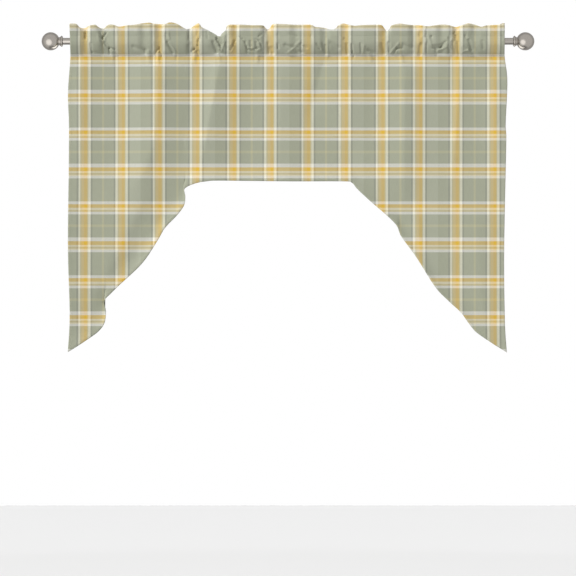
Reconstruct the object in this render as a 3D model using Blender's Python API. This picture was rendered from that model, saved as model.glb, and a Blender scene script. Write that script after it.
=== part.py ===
"""Swag window valance hung by its rod pocket on a plain curtain rod with two ball finials.

Units are metres and +Z is up. The origin is on the rod's axis at the middle of its length. X runs
along the rod, and the front of the valance faces -Y. The tables below give their values in
millimetres. Cloth positions are given on the sheet's middle, half a thickness from each face.
"""

from collections import namedtuple
from math import pi

import bmesh
import bpy
import numpy as np

MM = 0.001

# The rod: a steel tube, and a turned finial that slips over each end.
ROD_RADIUS = 9.5
ROD_WALL = 0.8
ROD_HALF_LENGTH = 644.7
ROD_SIDES = 40

BALL_RADIUS = 25.3
BALL_CENTRE = 662.0
BALL_RINGS = 13
SOCKET_GAP = 0.3
COLLAR_END = 628.0
NECK_RADIUS = 11.0
FINIAL_SIDES = 40

# The collar between the rod and the ball: distance from the middle of the rod, and radius.
Turning = namedtuple("Turning", "along radius")
COLLAR = (
    Turning(COLLAR_END, 12.0),
    Turning(COLLAR_END + 0.8, 13.6),
    Turning(COLLAR_END + 2.8, 15.2),
    Turning(COLLAR_END + 4.2, 15.2),
    Turning(COLLAR_END + 6.6, 13.4),
    Turning(COLLAR_END + 8.6, 13.0),
    Turning(COLLAR_END + 9.6, NECK_RADIUS),
)

# The cloth: one sheet, from the curved hem up the front, over the heading and down the back.
CLOTH_THICKNESS = 1.2
STITCH_HALF_GAP = 0.95
HEADING_STITCH_Z = 13.0
HEADING_STITCH_Y = -12.8
HEADING_TOP_Z = 45.5
HEADING_HALF_GAP = 2.0
HEADING_LEAST = 7.0
HEADING_LEAN = -1.2
HEADING_WAVE = 2.0
LEAN_PER_DIP = 0.4
POCKET_SEAM_Z = -40.5
POCKET_STRAIGHT_ABOVE_Z = -14.0
TURNING_BELOW_SEAM = 8.0

COLUMNS = 64
BODY_ROWS = 9
FRONT_POCKET_ROWS = 8
BACK_POCKET_ROWS = 9
POCKET_SAMPLES = 12
HEM_LENGTH_SHARE = 0.5
HEM_SAMPLES = 12
LEAST_STEP = 1e-3
EDGE_REACH = 70.0
HEM_CURL = 6.0
HEM_CURL_REACH = 40.0

# Places near an edge that stand a little to one side of where the tables above put them.
Nudge = namedtuple("Nudge", "x z reach_x reach_z shift")
NUDGES = (
    Nudge(-508, -728, 60, 26, -6.0),
    Nudge(-286, -410, 50, 24, -5.0),
)

# The pocket round the rod between the heading stitch and the seam: the height, how far back the
# front and the back layer stand there, and the share of the ripples that each carries.
PocketStation = namedtuple("PocketStation", "z front front_ripple back back_ripple")
RIPPLE_DEPTH = 5.5
STITCH_RIPPLE = -0.92
POCKET = (
    PocketStation(13.4, -13.65, -0.92, -7.0, -0.5),
    PocketStation(13.3, -13.7, -0.93, -2.0, -0.2),
    PocketStation(12.2, -13.75, -0.94, 4.5, 0.1),
    PocketStation(9.0, -13.9, -0.95, 10.0, 0.3),
    PocketStation(3.2, -14.0, -0.98, 13.3, 0.45),
    PocketStation(-4.0, -13.9, -1.0, 14.0, 0.5),
    PocketStation(-12.0, -12.4, -1.0, 12.4, 0.5),
    PocketStation(-22.0, -8.7, -0.9, 8.7, 0.4),
    PocketStation(-32.0, -4.6, -0.6, 4.6, 0.3),
)

# The heading's section, up its front, over the fold and down its back: the share of the way up,
# which layer it is (1 the front, -1 the back), and the share of the gap between the layers.
HeadingStation = namedtuple("HeadingStation", "share layer gap")
HEADING = (
    HeadingStation(0.3, 1, 1.0),
    HeadingStation(0.7, 1, 0.85),
    HeadingStation(1.0, 0, 0.0),
    HeadingStation(0.7, -1, 0.85),
    HeadingStation(0.3, -1, 1.0),
)
HEADING_GAP_MOST = 0.3

# The curved lower edge, from the tip of the left tail to the tip of the right one.
HemPoint = namedtuple("HemPoint", "x z")
HEM = (
    HemPoint(-613, -867),
    HemPoint(-568, -838),
    HemPoint(-530, -811),
    HemPoint(-512, -787),
    HemPoint(-508, -760),
    HemPoint(-506, -722),
    HemPoint(-480, -690),
    HemPoint(-408, -621),
    HemPoint(-365, -558),
    HemPoint(-343, -521),
    HemPoint(-308, -484),
    HemPoint(-290, -458),
    HemPoint(-287, -438),
    HemPoint(-285, -414),
    HemPoint(-261, -398),
    HemPoint(-226, -391),
    HemPoint(-186, -389),
    HemPoint(0, -391),
    HemPoint(153, -391),
    HemPoint(178, -395),
    HemPoint(193, -412),
    HemPoint(228, -445),
    HemPoint(297, -507),
    HemPoint(316, -545),
    HemPoint(357, -602),
    HemPoint(410, -685),
    HemPoint(449, -726),
    HemPoint(482, -757),
    HemPoint(512, -798),
    HemPoint(537, -821),
    HemPoint(610, -868),
)

# The side edges, which wave a little as they hang.
EdgePoint = namedtuple("EdgePoint", "z x")
LEFT_EDGE = (
    EdgePoint(-867, -613),
    EdgePoint(-760, -608),
    EdgePoint(-570, -613),
    EdgePoint(-250, -611),
    EdgePoint(-150, -614),
    EdgePoint(-38, -607),
    EdgePoint(45, -608),
)
RIGHT_EDGE = (
    EdgePoint(-867, 610),
    EdgePoint(-780, 605),
    EdgePoint(-580, 603),
    EdgePoint(-275, 609),
    EdgePoint(-235, 607),
    EdgePoint(-110, 612),
    EdgePoint(-38, 604),
    EdgePoint(45, 603),
)

# Dips in the top edge of the heading, where the ruffle drops back between two gathers. A negative
# depth is a rise.
Dip = namedtuple("Dip", "x reach depth")
DIPS = (
    Dip(-571, 18, 11),
    Dip(-516, 15, 8),
    Dip(-466, 20, 4),
    Dip(-282, 16, 13),
    Dip(-205, 40, 17),
    Dip(-192, 18, 14),
    Dip(-60, 14, 10),
    Dip(106, 38, 9),
    Dip(276, 20, 15),
    Dip(393, 20, 6),
    Dip(466, 22, 5),
    Dip(534, 22, 8),
    Dip(-385, 24, -4),
    Dip(-326, 22, -4),
    Dip(312, 22, -3),
    Dip(502, 20, -3),
)

# Gathers that pinch the pocket and the heading in, and how much of the ripple each takes away.
Gather = namedtuple("Gather", "x reach pull")
GATHERS = (
    Gather(-566, 22, 0.8),
    Gather(-507, 26, 1.0),
    Gather(-402, 20, 0.6),
    Gather(-358, 18, 0.8),
    Gather(-266, 22, 0.9),
    Gather(-194, 34, 1.0),
    Gather(-145, 16, 0.7),
    Gather(-56, 24, 1.0),
    Gather(22, 20, 0.5),
    Gather(103, 18, 0.7),
    Gather(158, 20, 0.8),
    Gather(268, 20, 0.7),
    Gather(352, 22, 1.0),
    Gather(428, 20, 0.7),
    Gather(468, 18, 0.9),
    Gather(520, 20, 0.6),
)

# Soft folds of the hanging cloth: each crest runs from x_top at z_from to x_low at z_to, bowed by
# bend, and stands depth in front of its flanks, which reach left and right of it. A negative depth
# is a trough. SEAM_SHARE of the depth is there at the pocket seam already, and SEAM_EASE of the
# fold's height later it has all of it. Past FADE_FROM of the height it fades out.
Fold = namedtuple("Fold", "x_top x_low z_from z_to bend left right depth")
FOLDS = (
    Fold(-580, -580, -40, -330, 1.0, 32, 70, 4.0),
    Fold(-364, -460, -40, -450, 4.0, 110, 150, 12.5),
    Fold(-184, -252, -40, -420, 0.9, 62, 120, 9.0),
    Fold(-20, -24, -40, -440, 1.0, 95, 95, 5.0),
    Fold(103, 56, -40, -230, 1.0, 30, 50, -3.0),
    Fold(174, 178, -40, -300, 1.0, 80, 70, 5.0),
    Fold(326, 324, -40, -470, 1.0, 100, 130, 10.0),
    Fold(477, 455, -40, -400, 2.0, 16, 70, 3.2),
    Fold(578, 586, -60, -400, 1.0, 50, 34, 4.0),
    Fold(-625, -625, -340, -1250, 1.0, 30, 190, 14.0),
    Fold(-375, -560, -380, -760, 1.0, 150, 80, 7.0),
    Fold(-400, -430, -430, -680, 1.0, 44, 60, -2.5),
    Fold(350, 400, -440, -760, 1.0, 60, 90, 6.0),
    Fold(520, 560, -430, -950, 1.0, 140, 110, 4.0),
)
SEAM_SHARE = 0.35
SEAM_EASE = 0.12
FADE_FROM = 0.6
FADE_OVER = 0.6
CREST_RADIUS = 3.0
FLANK_POWER = 1.6

CLOTH_SHARP_ANGLE = 1.0
METAL_SHARP_ANGLE = 0.6

FABRIC_COLOUR = (0.44, 0.45, 0.31)
FABRIC_ROUGHNESS = 0.9
NICKEL_COLOUR = (0.56, 0.53, 0.49)
NICKEL_ROUGHNESS = 0.34


def clear_scene():
    for obj in list(bpy.data.objects):
        bpy.data.objects.remove(obj)


def material(name, colour, roughness, metallic):
    made = bpy.data.materials.new(name)
    made.use_nodes = True
    shader = made.node_tree.nodes["Principled BSDF"]
    shader.inputs["Base Color"].default_value = (*colour, 1.0)
    shader.inputs["Roughness"].default_value = roughness
    shader.inputs["Metallic"].default_value = metallic
    return made


def mesh_object(name, bm, surface, sharp_angle):
    bmesh.ops.recalc_face_normals(bm, faces=bm.faces)
    mesh = bpy.data.meshes.new(name)
    bm.to_mesh(mesh)
    bm.free()
    mesh.shade_smooth()
    mesh.set_sharp_from_angle(angle=sharp_angle)
    mesh.materials.append(surface)
    obj = bpy.data.objects.new(name, mesh)
    bpy.context.scene.collection.objects.link(obj)
    return obj


def turned(name, profile, surface, sides, closed):
    """A solid turned about the X axis from (along, radius) points in millimetres."""
    bm = bmesh.new()
    points = [bm.verts.new((along * MM, 0.0, radius * MM)) for along, radius in profile]
    ends = points[1:] + points[:1] if closed else points[1:]
    edges = [bm.edges.new(pair) for pair in zip(points, ends)]
    bmesh.ops.spin(
        bm,
        geom=points + edges,
        cent=(0.0, 0.0, 0.0),
        axis=(1.0, 0.0, 0.0),
        angle=2.0 * pi,
        steps=sides,
        use_merge=True,
    )
    bmesh.ops.remove_doubles(bm, verts=bm.verts, dist=1e-7)
    return mesh_object(name, bm, surface, METAL_SHARP_ANGLE)


def make_rod(surface):
    inner = ROD_RADIUS - ROD_WALL
    section = (
        (-ROD_HALF_LENGTH, inner),
        (-ROD_HALF_LENGTH, ROD_RADIUS),
        (ROD_HALF_LENGTH, ROD_RADIUS),
        (ROD_HALF_LENGTH, inner),
    )
    return turned("rod", section, surface, ROD_SIDES, closed=True)


def finial_profile():
    """From the ball's outer pole, over the ball and the collar, and into the socket to its axis."""
    neck_angle = pi - np.arcsin(NECK_RADIUS / BALL_RADIUS)
    ball = [
        (BALL_CENTRE + BALL_RADIUS * np.cos(a), BALL_RADIUS * np.sin(a))
        for a in np.linspace(0.0, neck_angle, BALL_RINGS)
    ]
    ball[0] = (BALL_CENTRE + BALL_RADIUS, 0.0)
    collar = [(point.along, point.radius) for point in reversed(COLLAR)]
    socket_radius = ROD_RADIUS + SOCKET_GAP
    socket_end = ROD_HALF_LENGTH + SOCKET_GAP
    socket = [(COLLAR_END, socket_radius), (socket_end, socket_radius), (socket_end, 0.0)]
    return ball + collar + socket


def make_finial(name, side, surface):
    profile = [(side * along, radius) for along, radius in finial_profile()]
    return turned(name, profile, surface, FINIAL_SIDES, closed=False)


def bump(offset, reach):
    """1 where offset is 0, easing to 0 at reach on either side."""
    return 0.5 + 0.5 * np.cos(pi * np.clip(np.abs(offset) / reach, 0.0, 1.0))


def ease(value):
    """0 below 0, 1 above 1, and a smooth step between."""
    held = np.clip(value, 0.0, 1.0)
    return held * held * (3.0 - 2.0 * held)


def smooth_curve(points, samples):
    """A Catmull-Rom curve through rows of numbers, with that many samples a stretch."""
    known = np.array(points, float)
    known = np.vstack([2 * known[0] - known[1], known, 2 * known[-1] - known[-2]])
    t = np.linspace(0.0, 1.0, samples, endpoint=False)[:, None]
    pieces = []
    for before, start, end, after in zip(known, known[1:], known[2:], known[3:]):
        pieces.append(
            start
            + 0.5 * t * (end - before)
            + 0.5 * t**2 * (2 * before - 5 * start + 4 * end - after)
            + 0.5 * t**3 * (3 * start - before - 3 * end + after)
        )
    return np.vstack([*pieces, known[-2:-1]])


def evenly_along(points, count):
    """The curve again, as that many points evenly spaced along it."""
    steps = np.linalg.norm(np.diff(points, axis=0), axis=1)
    along = np.concatenate([[0.0], np.cumsum(steps)])
    wanted = np.linspace(0.0, along[-1], count)
    return np.stack([np.interp(wanted, along, column) for column in points.T], axis=1)


def smooth_hem():
    """Points along the lower edge, with x always rising."""
    curve = smooth_curve(HEM, HEM_SAMPLES)
    curve[:, 0] = np.maximum.accumulate(curve[:, 0]) + np.arange(len(curve)) * LEAST_STEP
    return curve


def column_positions(hem):
    """X of each column: evenly spread over a mix of the width and the length of the hem."""
    steps = np.diff(hem, axis=0)
    along = np.hypot(steps[:, 0], steps[:, 1])
    share = HEM_LENGTH_SHARE * along / along.sum()
    share += (1.0 - HEM_LENGTH_SHARE) * steps[:, 0] / steps[:, 0].sum()
    reached = np.concatenate([[0.0], np.cumsum(share)])
    return np.interp(np.linspace(0.0, 1.0, COLUMNS), reached / reached[-1], hem[:, 0])


def heading_top(x):
    dips = sum(dip.depth * bump(x - dip.x, dip.reach) for dip in DIPS)
    return np.maximum(HEADING_TOP_Z - dips, HEADING_STITCH_Z + HEADING_LEAST)


def puff(x):
    """How far the cloth stands out between the gathers: 1 in the open, less where it is pinched."""
    left = 1.0
    for gather in GATHERS:
        left = left * (1.0 - gather.pull * bump(x - gather.x, gather.reach))
    return left


def flank(offset, reach):
    """1 at a fold's crest, which is round only near its top, falling to 0 at reach."""
    away = np.hypot(offset, CREST_RADIUS) - CREST_RADIUS
    return np.clip(1.0 - away / reach, 0.0, 1.0) ** FLANK_POWER


def fold_depth(x, z):
    """How far the folds bring the hanging cloth forward at x and z."""
    total = 0.0
    for fold in FOLDS:
        down = (fold.z_from - z) / (fold.z_from - fold.z_to)
        run = np.clip(down, 0.0, 1.0) ** fold.bend
        offset = x - (fold.x_top + (fold.x_low - fold.x_top) * run)
        side = flank(offset, np.where(offset < 0.0, fold.left, fold.right))
        start = SEAM_SHARE + (1.0 - SEAM_SHARE) * ease(down / SEAM_EASE)
        if fold.z_from < POCKET_SEAM_Z:
            start = ease(down / (2.0 * SEAM_EASE))
        fade = 1.0 - ease((down - FADE_FROM) / FADE_OVER)
        total = total + fold.depth * start * fade * side
    return total


def body_rows(x, hem_z):
    """(y, z) of each row of the single layer, from the hem up to just under the pocket seam."""
    rows = []
    for row in range(BODY_ROWS):
        share = row / BODY_ROWS
        z = hem_z + (POCKET_SEAM_Z - hem_z) * share
        curl = HEM_CURL * (1.0 - ease((z - hem_z) / HEM_CURL_REACH))
        rows.append((-STITCH_HALF_GAP - fold_depth(x, z) - curl, z))
    return rows


def pocket_rows(x, side, count):
    """(y, z) down one layer of the pocket, from the heading stitch to the seam, both included."""
    stations = [(HEADING_STITCH_Z, HEADING_STITCH_Y + side * STITCH_HALF_GAP, STITCH_RIPPLE)]
    for station in POCKET:
        if side < 0:
            stations.append((station.z, station.front, station.front_ripple))
        else:
            stations.append((station.z, station.back, station.back_ripple))
    stations.append((POCKET_SEAM_Z, side * STITCH_HALF_GAP, 0.0))
    ripple = RIPPLE_DEPTH * puff(x)
    seam_y = -fold_depth(x, POCKET_SEAM_Z)
    rows = []
    for z, y, share in evenly_along(smooth_curve(stations, POCKET_SAMPLES), count):
        hang = ease((POCKET_STRAIGHT_ABOVE_Z - z) / (POCKET_STRAIGHT_ABOVE_Z - POCKET_SEAM_Z))
        rows.append((y + ripple * share + hang * seam_y, z + 0.0 * x))
    return rows


def heading_rows(x):
    """(y, z) over the heading: up the front from just above the stitch, round the fold, down."""
    top = heading_top(x)
    foot = HEADING_STITCH_Y + STITCH_RIPPLE * RIPPLE_DEPTH * puff(x)
    lean = HEADING_LEAN + LEAN_PER_DIP * (HEADING_TOP_Z - top) - HEADING_WAVE * (puff(x) - 0.5)
    rise = top - HEADING_STITCH_Z
    length = np.hypot(rise, lean)
    up_y, up_z = lean / length, rise / length
    rows = []
    for station in HEADING:
        half_gap = np.minimum(HEADING_HALF_GAP, HEADING_GAP_MOST * length)
        gap = station.layer * station.gap * half_gap
        y = foot + lean * station.share - up_z * gap
        rows.append((y, HEADING_STITCH_Z + rise * station.share + up_y * gap))
    return rows


def valance_sheet():
    """The middle of the sheet as an array of rows of columns of points, in millimetres."""
    hem = smooth_hem()
    x = column_positions(hem)
    hem_z = np.interp(x, hem[:, 0], hem[:, 1])
    front = pocket_rows(x, -1.0, FRONT_POCKET_ROWS)
    back = pocket_rows(x, 1.0, BACK_POCKET_ROWS)
    turning = [(back[-1][0], back[-1][1] - TURNING_BELOW_SEAM)]
    rows = body_rows(x, hem_z) + front[::-1] + heading_rows(x) + back + turning
    y = np.array([row[0] for row in rows])
    z = np.array([row[1] for row in rows])
    return np.stack([with_edge_waves(x, z), y, z], axis=-1)


def with_edge_waves(x, z):
    """X of every point, drawn to the waving side edges within reach of them."""
    shifted = np.broadcast_to(x, z.shape).copy()
    for table, straight in ((LEFT_EDGE, x[0]), (RIGHT_EDGE, x[-1])):
        edge = np.array(table, float)
        shift = np.interp(z, edge[:, 0], edge[:, 1]) - straight
        shifted += shift * bump(x - straight, EDGE_REACH)
    for nudge in NUDGES:
        shifted += nudge.shift * bump(x - nudge.x, nudge.reach_x) * bump(z - nudge.z, nudge.reach_z)
    return shifted


def thick_faces(middle):
    """The two faces of the sheet, each half a thickness from its middle."""
    down = np.gradient(middle, axis=0)
    across = np.gradient(middle, axis=1)
    normal = np.cross(across, down)
    normal /= np.linalg.norm(normal, axis=-1, keepdims=True)
    half = 0.5 * CLOTH_THICKNESS * normal
    return middle + half, middle - half


def make_valance(surface):
    middle = valance_sheet()
    rows, columns, _ = middle.shape
    bm = bmesh.new()
    skins = []
    for face in thick_faces(middle):
        skins.append([[bm.verts.new(point * MM) for point in row] for row in face])
    for skin in skins:
        for r in range(rows - 1):
            for c in range(columns - 1):
                bm.faces.new((skin[r][c], skin[r][c + 1], skin[r + 1][c + 1], skin[r + 1][c]))
    rim = [(0, c) for c in range(columns)]
    rim += [(r, columns - 1) for r in range(1, rows)]
    rim += [(rows - 1, c) for c in range(columns - 2, -1, -1)]
    rim += [(r, 0) for r in range(rows - 2, 0, -1)]
    outer, inner = skins
    for (r, c), (r_next, c_next) in zip(rim, rim[1:] + rim[:1]):
        bm.faces.new((outer[r][c], outer[r_next][c_next], inner[r_next][c_next], inner[r][c]))
    return mesh_object("valance", bm, surface, CLOTH_SHARP_ANGLE)


def main():
    clear_scene()
    fabric = material("plaid_fabric", FABRIC_COLOUR, FABRIC_ROUGHNESS, 0.0)
    nickel = material("brushed_nickel", NICKEL_COLOUR, NICKEL_ROUGHNESS, 1.0)
    make_valance(fabric)
    make_rod(nickel)
    make_finial("finial_left", -1.0, nickel)
    make_finial("finial_right", 1.0, nickel)


main()
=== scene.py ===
"""A plaid swag valance gathered on a curtain rod, seen straight on against a pale studio.

Metres, +Z up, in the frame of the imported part: the origin is on the rod's axis at the middle of
its length, X runs along the rod and the front faces -Y. The tables give millimetres.
"""

from collections import namedtuple
from math import pi

import bmesh
import bpy
import numpy as np
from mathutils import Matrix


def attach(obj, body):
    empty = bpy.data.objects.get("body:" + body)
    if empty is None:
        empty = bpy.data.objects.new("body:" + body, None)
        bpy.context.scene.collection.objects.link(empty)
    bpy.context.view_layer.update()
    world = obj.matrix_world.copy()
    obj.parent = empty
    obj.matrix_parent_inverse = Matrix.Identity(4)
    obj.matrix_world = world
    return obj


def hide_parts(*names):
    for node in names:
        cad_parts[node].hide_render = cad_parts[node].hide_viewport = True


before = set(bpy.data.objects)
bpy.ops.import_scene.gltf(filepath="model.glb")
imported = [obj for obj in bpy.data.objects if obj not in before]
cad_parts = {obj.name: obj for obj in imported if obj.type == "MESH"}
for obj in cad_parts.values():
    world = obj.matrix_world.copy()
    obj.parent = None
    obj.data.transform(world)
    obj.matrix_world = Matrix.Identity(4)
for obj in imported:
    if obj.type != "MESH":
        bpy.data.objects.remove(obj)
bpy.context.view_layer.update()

MM = 0.001

# ---------------------------------------------------------------- cloth sizes, most as in the CAD

STITCH_HALF_GAP = 0.75
HEADING_STITCH_Z = 13.0
HEADING_STITCH_Y = -12.8
VALLEY_X = -191.0
VALLEY_REACH = 18.0
VALLEY_DROP = 3.0
HEADING_TOP_Z = 45.5
HEADING_HALF_GAP = 1.8
HEADING_GAP_SHARE = 0.3
HEADING_LEAST = 2.5
HEADING_LEAN = -1.2
HEADING_WAVE = 2.0
LEAN_PER_DIP = 0.4
POCKET_SEAM_Z = -40.5
POCKET_STRAIGHT_ABOVE_Z = -14.0
TURNING_BELOW_SEAM = 8.0
TURNING_SHARES = (0.5, 1.0)
EDGE_REACH = 70.0
SEAM_SHARE = 0.35
SEAM_EASE = 0.12
FADE_FROM = 0.6
FADE_OVER = 0.6
HEM_CURL = 6.0
HEM_CURL_REACH = 40.0

# The fine sheet that stands for the CAD's faceted one.
CLOTH_THICKNESS = 0.55
HEM_THICKNESS = 1.3
HEM_WIDTH = 7.0
HEM_LEVELS = (0.0, 0.45 * HEM_WIDTH, 0.9 * HEM_WIDTH, HEM_WIDTH + 0.4)
BODY_FROM = HEM_WIDTH + 1.5
HEM_STEEPEST = 2.5
HEM_ADVANCE = 1e-4
HEM_SHOULDER = 2.0
COLUMNS = 560
BODY_ROWS = 30
BODY_ROWS_CROWD = 1.3
POCKET_ROWS = 26
BACK_POCKET_ROWS = 9
HEADING_FRONT_ROWS = 8
HEADING_BACK_ROWS = 4
HEM_LENGTH_SHARE = 0.35
HEM_SAMPLES = 40
HEADING_SAMPLES = 8
SIDE_SAMPLES = 12
CREST_RADIUS = 3.0
FLANK_POWER = 1.6
ROD_CLEARANCE = 1.0
STITCH_DENT_REACH = 12.0

# Places near an edge that stand a little to one side of where the hem's table puts them.
Nudge = namedtuple("Nudge", "x z reach_x reach_z shift")
NUDGES = (
    Nudge(-508, -728, 60, 26, -6.0),
    Nudge(-286, -410, 50, 24, -5.0),
)

# The pocket round the rod between the heading stitch and the seam: the height, how far back the
# front and the back layer stand there, and the share of the ripples that each carries.
PocketStation = namedtuple("PocketStation", "z front front_ripple back back_ripple")
RIPPLE_DEPTH = 5.5
STITCH_RIPPLE = -0.92
POCKET = (
    PocketStation(13.4, -13.65, -0.92, -7.0, -0.5),
    PocketStation(13.3, -13.7, -0.93, -2.0, -0.2),
    PocketStation(12.2, -13.75, -0.94, 4.5, 0.1),
    PocketStation(9.0, -13.9, -0.95, 10.0, 0.3),
    PocketStation(3.2, -14.0, -0.98, 13.3, 0.45),
    PocketStation(-4.0, -13.9, -1.0, 14.0, 0.5),
    PocketStation(-12.0, -12.4, -1.0, 12.4, 0.5),
    PocketStation(-22.0, -8.7, -0.9, 8.7, 0.4),
    PocketStation(-32.0, -4.6, -0.6, 4.6, 0.3),
)
POCKET_SAMPLES = 12

HemPoint = namedtuple("HemPoint", "x z")
HEM = (
    HemPoint(-613, -867),
    HemPoint(-568, -838),
    HemPoint(-530, -811),
    HemPoint(-512, -787),
    HemPoint(-508, -760),
    HemPoint(-506, -722),
    HemPoint(-480, -690),
    HemPoint(-408, -621),
    HemPoint(-365, -558),
    HemPoint(-343, -521),
    HemPoint(-308, -484),
    HemPoint(-290, -458),
    HemPoint(-287, -438),
    HemPoint(-285, -414),
    HemPoint(-261, -398),
    HemPoint(-226, -391),
    HemPoint(-186, -389),
    HemPoint(0, -391),
    HemPoint(153, -391),
    HemPoint(178, -395),
    HemPoint(193, -412),
    HemPoint(228, -445),
    HemPoint(297, -507),
    HemPoint(316, -545),
    HemPoint(357, -602),
    HemPoint(410, -685),
    HemPoint(449, -726),
    HemPoint(482, -757),
    HemPoint(512, -798),
    HemPoint(537, -821),
    HemPoint(610, -868),
)

EdgePoint = namedtuple("EdgePoint", "z x")
LEFT_EDGE = (
    EdgePoint(-867, -613),
    EdgePoint(-760, -608),
    EdgePoint(-570, -613),
    EdgePoint(-250, -611),
    EdgePoint(-150, -614),
    EdgePoint(-38, -607),
    EdgePoint(45, -608),
)
RIGHT_EDGE = (
    EdgePoint(-867, 610),
    EdgePoint(-780, 605),
    EdgePoint(-580, 603),
    EdgePoint(-275, 609),
    EdgePoint(-235, 607),
    EdgePoint(-110, 612),
    EdgePoint(-38, 604),
    EdgePoint(45, 603),
)

HeadingPoint = namedtuple("HeadingPoint", "x z")
HEADING_EDGE = (
    HeadingPoint(-608, 47.4),
    HeadingPoint(-593, 46.6),
    HeadingPoint(-585, 38.8),
    HeadingPoint(-575, 35.2),
    HeadingPoint(-564, 36.5),
    HeadingPoint(-555, 41.6),
    HeadingPoint(-537, 44.6),
    HeadingPoint(-529, 39.1),
    HeadingPoint(-520, 34.9),
    HeadingPoint(-512, 35.4),
    HeadingPoint(-504, 42.7),
    HeadingPoint(-497, 45.5),
    HeadingPoint(-485, 44.4),
    HeadingPoint(-474, 39.9),
    HeadingPoint(-463, 39.9),
    HeadingPoint(-449, 42.7),
    HeadingPoint(-427, 44.6),
    HeadingPoint(-405, 48.5),
    HeadingPoint(-385, 49.9),
    HeadingPoint(-374, 47.4),
    HeadingPoint(-343, 46.3),
    HeadingPoint(-333, 49.9),
    HeadingPoint(-321, 50.2),
    HeadingPoint(-307, 46.0),
    HeadingPoint(-296, 39.3),
    HeadingPoint(-285, 33.5),
    HeadingPoint(-275, 34.3),
    HeadingPoint(-264, 40.5),
    HeadingPoint(-253, 47.2),
    HeadingPoint(-246, 46.6),
    HeadingPoint(-240, 37.7),
    HeadingPoint(-226, 31.0),
    HeadingPoint(-212, 23.7),
    HeadingPoint(-199, 15.9),
    HeadingPoint(-192, 8.6),
    HeadingPoint(-185, 19.8),
    HeadingPoint(-174, 30.1),
    HeadingPoint(-170, 41.0),
    HeadingPoint(-162, 44.6),
    HeadingPoint(-134, 44.9),
    HeadingPoint(-100, 43.2),
    HeadingPoint(-70, 42.7),
    HeadingPoint(-63, 36.5),
    HeadingPoint(-56, 32.1),
    HeadingPoint(-49, 37.4),
    HeadingPoint(-43, 45.5),
    HeadingPoint(-22, 46.6),
    HeadingPoint(22, 44.6),
    HeadingPoint(64, 44.4),
    HeadingPoint(75, 38.8),
    HeadingPoint(100, 36.5),
    HeadingPoint(120, 31.5),
    HeadingPoint(133, 34.9),
    HeadingPoint(141, 43.2),
    HeadingPoint(155, 48.0),
    HeadingPoint(170, 44.4),
    HeadingPoint(187, 41.6),
    HeadingPoint(206, 43.5),
    HeadingPoint(251, 44.6),
    HeadingPoint(262, 43.0),
    HeadingPoint(269, 34.3),
    HeadingPoint(276, 28.7),
    HeadingPoint(283, 34.3),
    HeadingPoint(289, 42.7),
    HeadingPoint(312, 47.4),
    HeadingPoint(332, 44.9),
    HeadingPoint(365, 43.5),
    HeadingPoint(388, 40.2),
    HeadingPoint(407, 42.7),
    HeadingPoint(430, 45.5),
    HeadingPoint(449, 43.0),
    HeadingPoint(467, 38.8),
    HeadingPoint(481, 42.1),
    HeadingPoint(502, 48.0),
    HeadingPoint(522, 44.4),
    HeadingPoint(538, 39.1),
    HeadingPoint(555, 42.7),
    HeadingPoint(589, 44.6),
    HeadingPoint(605, 48.3),
)

Gather = namedtuple("Gather", "x reach pull")
GATHERS = (
    Gather(-566, 22, 0.8),
    Gather(-507, 26, 1.0),
    Gather(-402, 20, 0.6),
    Gather(-358, 18, 0.8),
    Gather(-266, 22, 0.9),
    Gather(-194, 34, 1.0),
    Gather(-145, 16, 0.7),
    Gather(-56, 24, 1.0),
    Gather(22, 20, 0.5),
    Gather(103, 18, 0.7),
    Gather(158, 20, 0.8),
    Gather(268, 20, 0.7),
    Gather(352, 22, 1.0),
    Gather(428, 20, 0.7),
    Gather(468, 18, 0.9),
    Gather(520, 20, 0.6),
)

Fold = namedtuple("Fold", "x_top x_low z_from z_to bend left right depth")
FOLDS = (
    Fold(-580, -580, -40, -330, 1.0, 32, 70, 4.0),
    Fold(-364, -460, -40, -450, 4.0, 110, 150, 12.5),
    Fold(-184, -252, -40, -420, 0.9, 62, 120, 9.0),
    Fold(-20, -24, -40, -440, 1.0, 95, 95, 5.0),
    Fold(103, 56, -40, -230, 1.0, 30, 50, -3.0),
    Fold(174, 178, -40, -300, 1.0, 80, 70, 5.0),
    Fold(326, 324, -40, -470, 1.0, 100, 130, 10.0),
    Fold(477, 455, -40, -400, 2.0, 16, 70, 3.2),
    Fold(578, 586, -60, -400, 1.0, 50, 34, 4.0),
    Fold(-625, -625, -340, -1250, 1.0, 30, 190, 14.0),
    Fold(-375, -560, -380, -760, 1.0, 150, 80, 7.0),
    Fold(-400, -430, -430, -680, 1.0, 44, 60, -2.5),
    Fold(350, 400, -440, -760, 1.0, 60, 90, 6.0),
    Fold(520, 560, -430, -950, 1.0, 140, 110, 4.0),
)

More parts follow.
